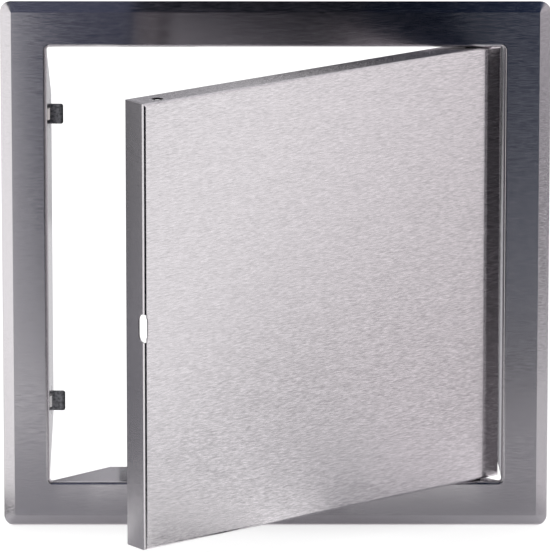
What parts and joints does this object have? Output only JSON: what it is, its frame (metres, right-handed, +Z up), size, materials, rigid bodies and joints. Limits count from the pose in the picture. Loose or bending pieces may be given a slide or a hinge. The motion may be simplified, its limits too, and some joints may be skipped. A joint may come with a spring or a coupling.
{
  "type": "hinged access panel",
  "caption": "Brushed stainless access panel: bevelled wall frame with a flush pan door on pivot pins, finger slot and spring catches.",
  "frame": {"origin": "middle of the opening on the wall's surface, which the trim's rim rests on", "axes": "+X to the right seen from the room, +Y into the wall, +Z up"},
  "size_m": [0.367, 0.2095, 0.362],
  "materials": {
    "stainless": "brushed along the width",
    "pin_steel": "turned",
    "spring_steel": "bright rolled",
    "bracket_steel": "dull rolled",
    "nylon": "moulded"
  },
  "bodies": {
    "frame": {"frame": "stainless", "hinge_pin_top": "pin_steel", "hinge_pin_bottom": "pin_steel", "hinge_spacer_top": "nylon", "hinge_spacer_bottom": "nylon", "hinge_clip_top": "spring_steel", "hinge_clip_bottom": "spring_steel", "catch_bracket_top": "bracket_steel", "catch_bracket_bottom": "bracket_steel", "catch_rivet_top": "pin_steel", "catch_rivet_bottom": "pin_steel"},
    "door": {"door_panel": "stainless"},
    "spring_top": {"catch_spring_top": "spring_steel"},
    "spring_bottom": {"catch_spring_bottom": "spring_steel"}
  },
  "joints": [
    {"name": "door_hinge", "type": "hinge", "parent": "frame", "child": "door", "pos_m": [0.1325, 0.0059, 0], "axis": [0, 0, 1], "range_deg": [-38, 92]},
    {"name": "catch_spring_top_press", "type": "slide", "parent": "frame", "child": "spring_top", "axis": [-0.9986, 0.0523, 0], "range_m": [0, 0.001], "stiffness_N_per_m": 1500},
    {"name": "catch_spring_bottom_press", "type": "slide", "parent": "frame", "child": "spring_bottom", "axis": [-0.9986, 0.0523, 0], "range_m": [0, 0.001], "stiffness_N_per_m": 1500}
  ]
}
